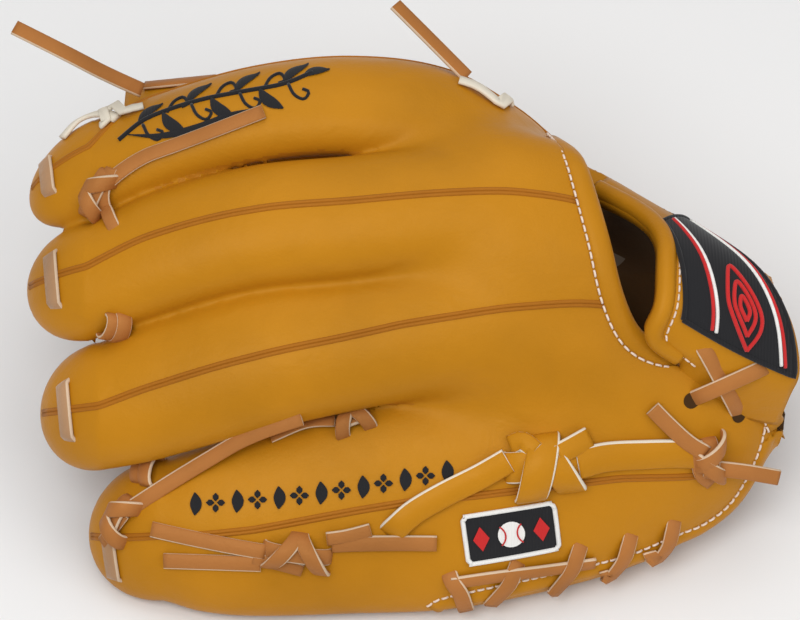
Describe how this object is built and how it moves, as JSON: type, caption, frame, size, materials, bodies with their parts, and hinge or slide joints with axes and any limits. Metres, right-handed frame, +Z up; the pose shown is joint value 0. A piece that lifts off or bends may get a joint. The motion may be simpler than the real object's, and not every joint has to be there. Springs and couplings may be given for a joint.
{
  "type": "baseball glove",
  "caption": "Fielder's glove of sewn leather stalls laced together, with a closing pocket, a web and a wrist strap.",
  "frame": {"origin": "centre of the footprint, on the ground that the glove rests on", "axes": "+X from the fingertips to the heel, +Z up, +Y toward the thumb and index side"},
  "size_m": [0.3251, 0.2286, 0.1569],
  "materials": {
    "shell_leather": "smooth oiled steer hide with fine grain",
    "trim_leather": "thin rolled leather, slightly browner",
    "lining_leather": "soft dark inner leather",
    "rawhide_lace": "waxed lace with pale raw edges",
    "felt": "dark pressed wool felt",
    "patch_fabric": "woven polyester with an overlocked border",
    "badge_fabric": "woven badge with a pale overlocked border",
    "embroidery_thread": "satin stitched rayon thread"
  },
  "bodies": {
    "finger_side": {"adjusting_strap": "shell_leather", "back_binding": "trim_leather", "back_panel_index_middle": "shell_leather", "back_panel_index_outer": "shell_leather", "back_panel_middle_ring": "shell_leather", "back_panel_pinky_outer": "shell_leather", "back_panel_ring_pinky": "shell_leather", "cord_index_tail": "rawhide_lace", "cord_pinky_tail_lower": "rawhide_lace", "cord_pinky_tail_right": "rawhide_lace", "cord_pinky_tail_upper": "rawhide_lace", "cord_pinky_tip_tail": "rawhide_lace", "cord_web_base_tail": "rawhide_lace", "cord_web_tip_tail": "rawhide_lace", "corner_knot": "rawhide_lace", "cross_lace": "rawhide_lace", "crotch_index_half": "shell_leather", "embroidery_index": "embroidery_thread", "embroidery_pinky": "embroidery_thread", "heel_binding": "trim_leather", "heel_whip_lace": "rawhide_lace", "index_knot": "rawhide_lace", "lining_index": "lining_leather", "lining_middle": "lining_leather", "lining_pinky": "lining_leather", "lining_ring": "lining_leather", "middle_ring_loop": "rawhide_lace", "palm_lining": "lining_leather", "palm_pad": "felt", "palm_shell": "shell_leather", "pinky_double_knot": "rawhide_lace", "pinky_stay": "felt", "pinky_tip_knot": "rawhide_lace", "ring_pinky_knot": "rawhide_lace", "ring_pinky_loop": "rawhide_lace", "side_badge": "badge_fabric", "tip_lace": "rawhide_lace", "web_index_half": "shell_leather", "web_lace": "rawhide_lace", "welt_index": "trim_leather", "welt_middle": "trim_leather", "welt_pinky": "trim_leather", "welt_ring": "trim_leather"},
    "thumb_side": {"crotch_thumb_half": "shell_leather", "lining_thumb": "lining_leather", "thumb_back_inner": "shell_leather", "thumb_back_outer": "shell_leather", "thumb_palm": "shell_leather", "thumb_stay": "felt", "web_thumb_half": "shell_leather", "web_thumb_lace": "rawhide_lace", "welt_thumb": "trim_leather"},
    "wrist_strap": {"strap_patch": "patch_fabric", "strap_roll": "trim_leather", "wrist_strap": "shell_leather"}
  },
  "joints": [
    {"name": "pocket_fold", "type": "hinge", "parent": "finger_side", "child": "thumb_side", "pos_m": [0.14626, 0.01643, 0.0471], "axis": [-0.966, 0.2145, 0.1443], "range_deg": [-15, 30], "stiffness_Nm_per_rad": 6},
    {"name": "strap_flex", "type": "hinge", "parent": "finger_side", "child": "wrist_strap", "pos_m": [0.13276, -0.04982, 0.0914], "axis": [-0.527, 0.8395, 0.1323], "range_deg": [-8, 8], "stiffness_Nm_per_rad": 1.2}
  ]
}
